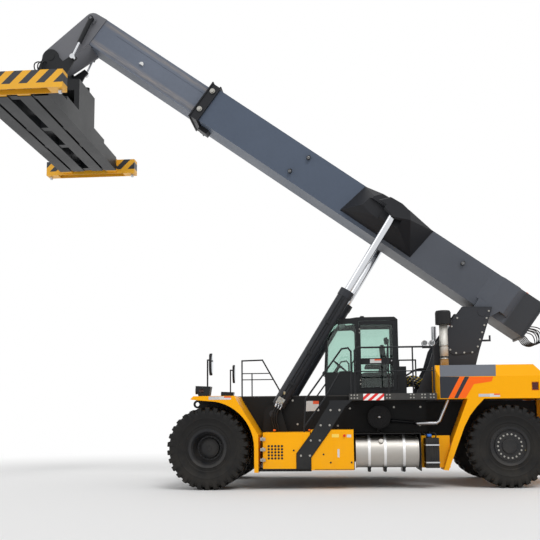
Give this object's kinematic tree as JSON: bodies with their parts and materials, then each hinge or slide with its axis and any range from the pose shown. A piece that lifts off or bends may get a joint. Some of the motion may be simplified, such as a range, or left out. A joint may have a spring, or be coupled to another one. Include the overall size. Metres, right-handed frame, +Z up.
{
  "type": "reach stacker",
  "caption": "Container reach stacker: truck on six tyres with a cab, a telescopic lifting boom and a slewing, side-shifting 20 to 40 foot spreader.",
  "frame": {"origin": "on the ground, under the middle of the whole machine's bounding box as it stands", "axes": "+X ahead along the truck and its boom, +Y to the left, +Z up"},
  "size_m": [12.672, 6.153, 10.9911],
  "materials": {
    "dark_paint": "satin dark grey paint",
    "black_paint": "semi-gloss black paint",
    "boom_paint": "satin slate grey paint",
    "yellow_paint": "gloss amber yellow paint",
    "yellow_casting": "amber yellow paint on a heavy casting",
    "rim_paint": "satin black paint",
    "engine_iron": "cast iron",
    "tyre": "black rubber with a bar tread",
    "chrome": "hard chrome rod",
    "polished_steel": "polished stainless steel",
    "lock_steel": "bare forged steel",
    "glass": "pale green safety glass",
    "seat_cloth": "black woven seat cloth",
    "amber_lens": "amber lens",
    "black_plastic": "black moulded plastic"
  },
  "bodies": {
    "chassis": {"chassis_frame": "dark_paint", "boom_tower": "dark_paint", "front_axle": "dark_paint", "rear_axle": "dark_paint", "fenders": "yellow_paint", "front_lamps": "black_paint", "marker_lamps": "amber_lens", "work_lamps": "polished_steel", "mirrors": "black_plastic", "counterweight": "yellow_casting", "engine_hood": "yellow_paint", "engine_block": "engine_iron", "cab_shell": "dark_paint", "cab_glass": "glass", "seat": "seat_cloth", "controls": "black_plastic", "walkways": "dark_paint", "stairs": "black_paint", "handrails": "dark_paint", "fuel_tank": "polished_steel", "tank_straps": "black_paint", "urea_tank": "black_plastic", "side_cabinets": "yellow_paint", "hydraulic_tank": "dark_paint", "air_filter": "black_plastic", "air_intake": "black_plastic", "exhaust_pipes": "polished_steel"},
    "front_wheels_left": {"front_tyres_left": "tyre", "front_rims_left": "rim_paint"},
    "front_wheels_right": {"front_tyres_right": "tyre", "front_rims_right": "rim_paint"},
    "knuckle_left": {"knuckle_left": "dark_paint"},
    "knuckle_right": {"knuckle_right": "dark_paint"},
    "rear_wheel_left": {"rear_tyre_left": "tyre", "rear_rim_left": "rim_paint"},
    "rear_wheel_right": {"rear_tyre_right": "tyre", "rear_rim_right": "rim_paint"},
    "steering_rod": {"steering_rod": "chrome"},
    "boom_outer": {"boom_outer": "boom_paint", "boom_collar": "black_paint", "cylinder_bracket": "boom_paint", "boom_lamps": "black_paint"},
    "boom_inner": {"boom_inner": "boom_paint", "boom_head": "boom_paint"},
    "tilt_yoke": {"tilt_yoke": "black_paint"},
    "slew_carriage": {"slew_carriage": "black_paint"},
    "spreader": {"spreader_frame": "black_paint"},
    "spreader_end_left": {"spreader_end_left": "yellow_paint"},
    "spreader_end_right": {"spreader_end_right": "yellow_paint"},
    "twistlock_lf": {"twistlock_lf": "lock_steel"},
    "twistlock_lr": {"twistlock_lr": "lock_steel"},
    "twistlock_rf": {"twistlock_rf": "lock_steel"},
    "twistlock_rr": {"twistlock_rr": "lock_steel"},
    "lift_barrels": {"lift_barrels": "black_paint", "valve_block": "polished_steel"},
    "lift_rods": {"lift_rods": "chrome"},
    "damper_barrels": {"damper_barrels": "black_paint"},
    "damper_rods": {"damper_rods": "chrome"},
    "cab_door": {"cab_door": "dark_paint", "door_glass": "glass"}
  },
  "joints": [
    {"name": "front_wheels_left_roll", "type": "hinge", "parent": "chassis", "child": "front_wheels_left", "pos_m": [1.11398, 1.5375, 0.82], "axis": [0, 1, 0], "continuous": true},
    {"name": "front_wheels_right_roll", "type": "hinge", "parent": "chassis", "child": "front_wheels_right", "pos_m": [1.11398, -1.5375, 0.82], "axis": [0, 1, 0], "continuous": true},
    {"name": "steer_left", "type": "hinge", "parent": "chassis", "child": "knuckle_left", "pos_m": [-4.88602, 1, 0.82], "axis": [0, 0, 1], "range_deg": [-40, 40]},
    {"name": "steer_right", "type": "hinge", "parent": "chassis", "child": "knuckle_right", "pos_m": [-4.88602, -1, 0.82], "axis": [0, 0, 1], "range_deg": [-40, 40]},
    {"name": "rear_wheel_left_roll", "type": "hinge", "parent": "knuckle_left", "child": "rear_wheel_left", "pos_m": [-4.88602, 1.4, 0.82], "axis": [0, 1, 0], "continuous": true},
    {"name": "rear_wheel_right_roll", "type": "hinge", "parent": "knuckle_right", "child": "rear_wheel_right", "pos_m": [-4.88602, -1.4, 0.82], "axis": [0, 1, 0], "continuous": true},
    {"name": "steering_slide", "type": "slide", "parent": "chassis", "child": "steering_rod", "axis": [0, 1, 0], "range_m": [-0.1606, 0.1606]},
    {"name": "boom_lift", "type": "hinge", "parent": "chassis", "child": "boom_outer", "pos_m": [-4.60902, 0, 3.63], "axis": [0, -1, 0], "range_deg": [-36, 24]},
    {"name": "boom_retract", "type": "slide", "parent": "boom_outer", "child": "boom_inner", "axis": [-0.809, 0, -0.5878], "range_m": [-4.03, 2.97]},
    {"name": "head_tilt", "type": "hinge", "parent": "boom_inner", "child": "tilt_yoke", "pos_m": [5.11602, 0, 9.92188], "axis": [0, -1, 0], "range_deg": [-24, 36]},
    {"name": "slew", "type": "hinge", "parent": "tilt_yoke", "child": "slew_carriage", "pos_m": [5.11602, 0, 9.92188], "axis": [0, 0, 1], "range_deg": [-105, 195]},
    {"name": "side_shift", "type": "slide", "parent": "slew_carriage", "child": "spreader", "axis": [0, 1, 0], "range_m": [-0.8, 0.8]},
    {"name": "extend_left", "type": "slide", "parent": "spreader", "child": "spreader_end_left", "axis": [0, 1, 0], "range_m": [0, 3.066]},
    {"name": "extend_right", "type": "slide", "parent": "spreader", "child": "spreader_end_right", "axis": [0, -1, 0], "range_m": [0, 3.066]},
    {"name": "lock_lf", "type": "hinge", "parent": "spreader_end_left", "child": "twistlock_lf", "pos_m": [6.24552, 2.9265, 8.04188], "axis": [0, 0, 1], "range_deg": [0, 90]},
    {"name": "lock_lr", "type": "hinge", "parent": "spreader_end_left", "child": "twistlock_lr", "pos_m": [3.98652, 2.9265, 8.04188], "axis": [0, 0, 1], "range_deg": [0, 90]},
    {"name": "lock_rf", "type": "hinge", "parent": "spreader_end_right", "child": "twistlock_rf", "pos_m": [6.24552, -2.9265, 8.04188], "axis": [0, 0, 1], "range_deg": [0, 90]},
    {"name": "lock_rr", "type": "hinge", "parent": "spreader_end_right", "child": "twistlock_rr", "pos_m": [3.98652, -2.9265, 8.04188], "axis": [0, 0, 1], "range_deg": [0, 90]},
    {"name": "lift_cylinder_swing", "type": "hinge", "parent": "chassis", "child": "lift_barrels", "pos_m": [-0.13602, 0, 1.5], "axis": [0, -1, 0], "range_deg": [-5.04, 3.36]},
    {"name": "lift_cylinder_stroke", "type": "slide", "parent": "lift_barrels", "child": "lift_rods", "axis": [-0.5271, 0, 0.8498], "range_m": [-1.6462, 1.0975]},
    {"name": "damper_swing", "type": "hinge", "parent": "boom_inner", "child": "damper_barrels", "pos_m": [4.13633, 0, 10.7923], "axis": [0, -1, 0], "range_deg": [-3.82, 2.54]},
    {"name": "damper_stroke", "type": "slide", "parent": "damper_barrels", "child": "damper_rods", "axis": [0.423, 0, -0.9061], "range_m": [-0.2053, 0.3079]},
    {"name": "door_open", "type": "hinge", "parent": "chassis", "child": "cab_door", "pos_m": [-2.77402, 0.734, 2.7], "axis": [0, 0, 1], "range_deg": [0, 95]}
  ],
  "couplings": [
    {"joint": "steer_right", "follows": "steer_left", "ratio": 1},
    {"joint": "steering_slide", "follows": "steer_left", "m_per_rad": 0.23},
    {"joint": "head_tilt", "follows": "boom_lift", "ratio": -1},
    {"joint": "extend_right", "follows": "extend_left", "ratio": 1},
    {"joint": "lock_lr", "follows": "lock_lf", "ratio": 1},
    {"joint": "lock_rf", "follows": "lock_lf", "ratio": 1},
    {"joint": "lock_rr", "follows": "lock_lf", "ratio": 1},
    {"joint": "lift_cylinder_swing", "follows": "boom_lift", "ratio": 0.14},
    {"joint": "lift_cylinder_stroke", "follows": "boom_lift", "m_per_rad": 2.62},
    {"joint": "damper_swing", "follows": "boom_lift", "ratio": 0.106},
    {"joint": "damper_stroke", "follows": "boom_lift", "m_per_rad": -0.49}
  ]
}
